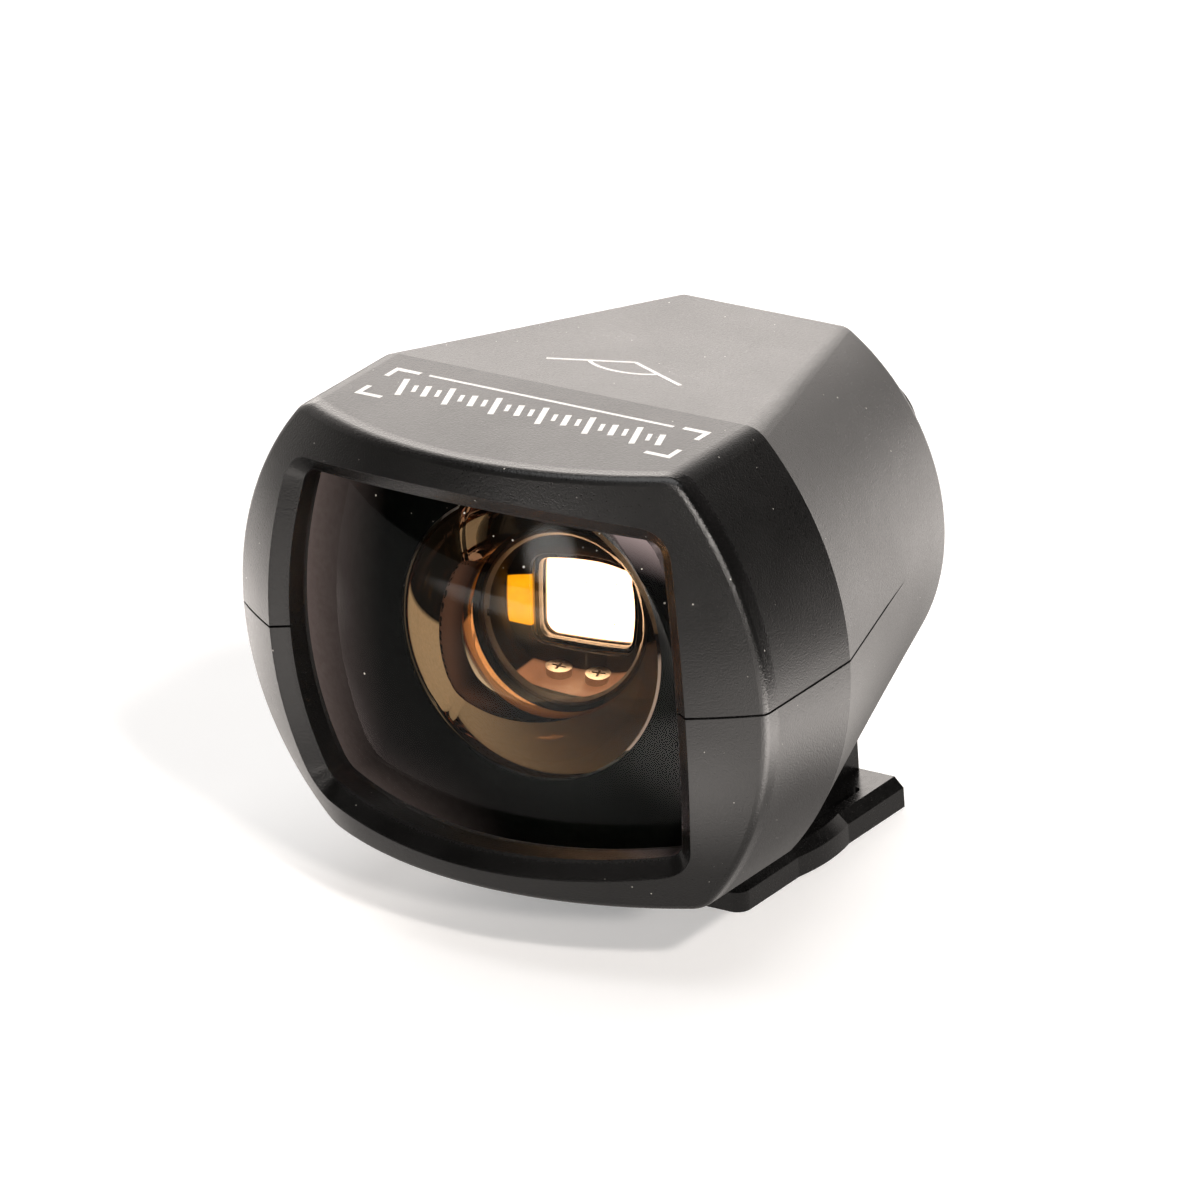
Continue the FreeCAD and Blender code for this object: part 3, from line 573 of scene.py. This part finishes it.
def framing_brackets(bm):
    """Four corner brackets round a row of plain bars, under one line."""
    middle, half, deep = -12.4, 10.6, 1.9
    for sx in (-1, 1):
        for sy in (-1, 1):
            x, y = sx * half, middle + sy * deep
            stroke(bm, [(x - sx * 1.6, y), (x, y), (x, y - sy * 1.1)], 0.34)
    stroke(bm, [(-8.4, middle + deep), (8.4, middle + deep - 0.1)], 0.22)
    bars, pitch, lean = 23, 0.8, 0.35
    for i in range(bars):
        x = (i - (bars - 1) / 2) * pitch
        reach = 1.25 if i % 4 == 0 else 0.8 if i % 2 == 0 else 0.5
        stroke(bm, [(x + lean * reach, middle - reach), (x - lean * reach, middle + 0.75 * reach)],
               0.36 if i % 2 == 0 else 0.26)


def view_angle(bm):
    """Two lines that meet in a point, with an arc between them."""
    point_y, arc_x, arc_y = -2.3, 2.9, 2.0
    for sx in (-1, 1):
        stroke(bm, [(0.0, point_y), (sx * 4.6, -4.5)], 0.26)
    arc = [(arc_x * math.sin(a), point_y - arc_y * math.cos(a))
           for a in (math.radians(-52 + 8 * i) for i in range(14))]
    stroke(bm, arc, 0.24)


def printing():
    """The two plain signs in white. Their sizes are in millimetres."""
    bm = bmesh.new()
    framing_brackets(bm)
    view_angle(bm)
    bmesh.ops.recalc_face_normals(bm, faces=bm.faces)
    marks = finish_mesh("printed_signs", bm, smooth=False)
    marks.data.materials.append(print_white)
    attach(marks, "root")


printing()


# ---------------------------------------------------------------- studio
def patch_sum(t, coords, patches, start):
    """Adds up soft round patches of light: (centre, inner, outer, level) in the coords' units."""
    total = start
    for centre, inner, outer, level in patches:
        node = t.add("ShaderNodeMapRange", {"interpolation_type": "SMOOTHSTEP"},
                     Value=t.distance(coords, centre), From_Min=outer, From_Max=inner,
                     To_Min=0.0, To_Max=level)
        total = t.math("ADD", node.outputs["Result"], total)
    return total


def direction(azimuth, elevation):
    """A unit vector: azimuth 0 is in front of the window, 90 to the right, 180 behind."""
    a, e = math.radians(azimuth), math.radians(elevation)
    return Vector((math.sin(a) * math.cos(e), -math.cos(a) * math.cos(e), math.sin(e)))


def chord(degrees):
    """The distance between two points of the unit sphere that far apart."""
    return 2 * math.sin(math.radians(degrees) / 2)


# the room as the object sees it: azimuth, elevation, inner and outer half angles, level
ROOM = (
    (215, 14, 18, 34, 2.4),              # sweep behind on the left
    (180, 12, 14, 28, 1.0),              # sweep straight behind
    (0, 15, 15, 30, 0.6),                # card in front
    (-120, 10, 30, 48, 1.0),             # white card on the left
    (60, 24, 1, 4, 220.0),               # lamp on the right that lights the front edge
    (60, 42, 1, 4, 220.0),               # another, higher
    (-12, 7, 4, 8, 11.0),                # small lamp in front
)
# the room as seen through the glass, in the same terms
ROOM_THROUGH = (
    (180, 0, 35, 60, 6.0),               # wall behind the eyepiece
    (10, 45, 20, 50, 1.0),               # ceiling in front
)
# the paper as shiny surfaces see it: x, y, inner and outer radius in metres, level
PAPER = (
    (0.01, 0.10, 0.045, 0.08, 2.0),      # behind the object
    (0.0, 0.30, 0.12, 0.20, 1.5),        # far behind
    (0.055, -0.01, 0.01, 0.035, 9.0),    # right of the foot
    (0.03, 0.02, 0.008, 0.022, 3.0),     # beside the foot
    (0.07, -0.06, 0.02, 0.045, 2.5),     # right, in front
    (0.022, -0.036, 0.006, 0.016, 3.0),  # under the right of the rim
    (0.0, -0.045, 0.008, 0.022, 1.0),    # under the middle of the rim
    (0.0, -0.09, 0.03, 0.06, 1.0),       # in front
    (-0.085, 0.01, 0.035, 0.055, 1.7),   # left
    (-0.04, 0.01, 0.025, 0.036, 1.3),    # beside the object on the left
    (-0.09, -0.22, 0.04, 0.09, 4.0),     # far in front on the left
    (0.22, 0.15, 0.08, 0.22, -0.45),     # dark board behind on the right
)
# the paper as seen out through the glass, in the same terms
PAPER_THROUGH = (
    (0.0, 0.16, 0.12, 0.2, 6.0),         # behind the eyepiece
)
ROOM_BASE, THROUGH_BASE, PAPER_BASE, PAPER_GLOW, TOP_LAMP = 0.012, 0.03, 0.45, 0.3, 1.7
WARM, WHITE = (1.0, 0.935, 0.885, 1), (1, 1, 1, 1)
FLOOR_HALF = 3.0                         # half the paper's width in metres


def paper_light(t, patches, start):
    return patch_sum(t, t.coords(), [(Vector((x, y, 0)), near, far, level)
                                     for x, y, near, far, level in patches], start)


def room_light(t, patches, start):
    return patch_sum(t, t.add("ShaderNodeTexCoord").outputs["Generated"],
                     [(direction(azimuth, elevation), chord(inner), chord(outer), level)
                      for azimuth, elevation, inner, outer, level in patches], start)


def floor_material():
    """White paper. Shiny surfaces see its patches of light, and not its shadows."""
    material, t = new_material("paper")
    path = t.add("ShaderNodeLightPath").outputs
    shiny = path["Is Glossy Ray"]
    seen = t.mix_value(path["Is Transmission Ray"], paper_light(t, PAPER, PAPER_BASE),
                       paper_light(t, PAPER_THROUGH, 0.0))
    light = t.add("ShaderNodeEmission", Color=t.mix(shiny, WHITE, WARM),
                  Strength=t.mix_value(shiny, PAPER_GLOW, seen))
    paper = t.add("ShaderNodeBsdfDiffuse",
                  Color=t.ramp(t.noise(60.0, 3.0), [(0.3, grey(0.93)), (0.7, grey(0.97))]))
    unlit = t.add("ShaderNodeMixShader", Fac=shiny)
    t.feed(unlit, "1", paper.outputs[0])
    both = t.add("ShaderNodeAddShader", **{"0": unlit.outputs[0], "1": light.outputs[0]})
    t.surface(both.outputs[0])
    return material


def floor():
    bm = bmesh.new()
    corners = ((-1, -1), (1, -1), (1, 1), (-1, 1))
    bm.faces.new([bm.verts.new((FLOOR_HALF * x, FLOOR_HALF * y, 0)) for x, y in corners])
    obj = finish_mesh("floor", bm, smooth=False)
    obj.data.materials.append(floor_material())


def room():
    """The world: white to the camera, and the two rooms to the object and through its glass."""
    scene.world = bpy.data.worlds.new("studio")
    t = Tree(scene.world)
    path = t.add("ShaderNodeLightPath").outputs
    light = t.mix_value(path["Is Transmission Ray"], room_light(t, ROOM, ROOM_BASE),
                        room_light(t, ROOM_THROUGH, THROUGH_BASE))
    to_camera = path["Is Camera Ray"]
    back = t.add("ShaderNodeBackground", Color=t.mix(to_camera, WARM, WHITE),
                 Strength=t.mix_value(to_camera, light, 1.0))
    t.feed(t.add("ShaderNodeOutputWorld"), "Surface", back.outputs[0])


def lamp(name, place, aim, size, power):
    light = bpy.data.lights.new(name, "AREA")
    light.shape = "RECTANGLE"
    light.size, light.size_y = size
    light.energy = power
    obj = bpy.data.objects.new(name, light)
    scene.collection.objects.link(obj)
    obj.location = place
    obj.rotation_euler = (Vector(aim) - Vector(place)).to_track_quat("-Z", "Y").to_euler()


floor()
room()
lamp("top", (0, 0.05, 0.6), (0, 0, 0), (0.5, 0.5), TOP_LAMP)


# ---------------------------------------------------------------- camera
AZIMUTH, ELEVATION, ROLL = 36.41, 23.11, math.radians(-3.93)
DISTANCE, FOCAL_MM, SENSOR_MM = 0.7, 375.4, 36.0
AIM_RIGHT, AIM_UP = 5.55 * MM, 3.155 * MM    # where it aims, from the rim's middle


def camera():
    back = direction(AZIMUTH, ELEVATION)
    level = direction(AZIMUTH + 90, 0)
    over = back.cross(level)
    right = level * math.cos(ROLL) + over * math.sin(ROLL)
    up = over * math.cos(ROLL) - level * math.sin(ROLL)
    rim = Vector((0, RIM_Y, AXIS_Z))
    place = rim + right * AIM_RIGHT + up * AIM_UP + back * DISTANCE
    data = bpy.data.cameras.new("camera")
    data.sensor_width = SENSOR_MM
    data.lens = FOCAL_MM
    data.clip_start = 0.01
    obj = bpy.data.objects.new("camera", data)
    scene.collection.objects.link(obj)
    obj.matrix_world = Matrix((
        (right.x, up.x, back.x, place.x),
        (right.y, up.y, back.y, place.y),
        (right.z, up.z, back.z, place.z),
        (0, 0, 0, 1)))
    scene.camera = obj


camera()
scene.view_settings.view_transform = "Standard"
scene.cycles.max_bounces = 24
scene.cycles.transmission_bounces = 24
scene.cycles.glossy_bounces = 16
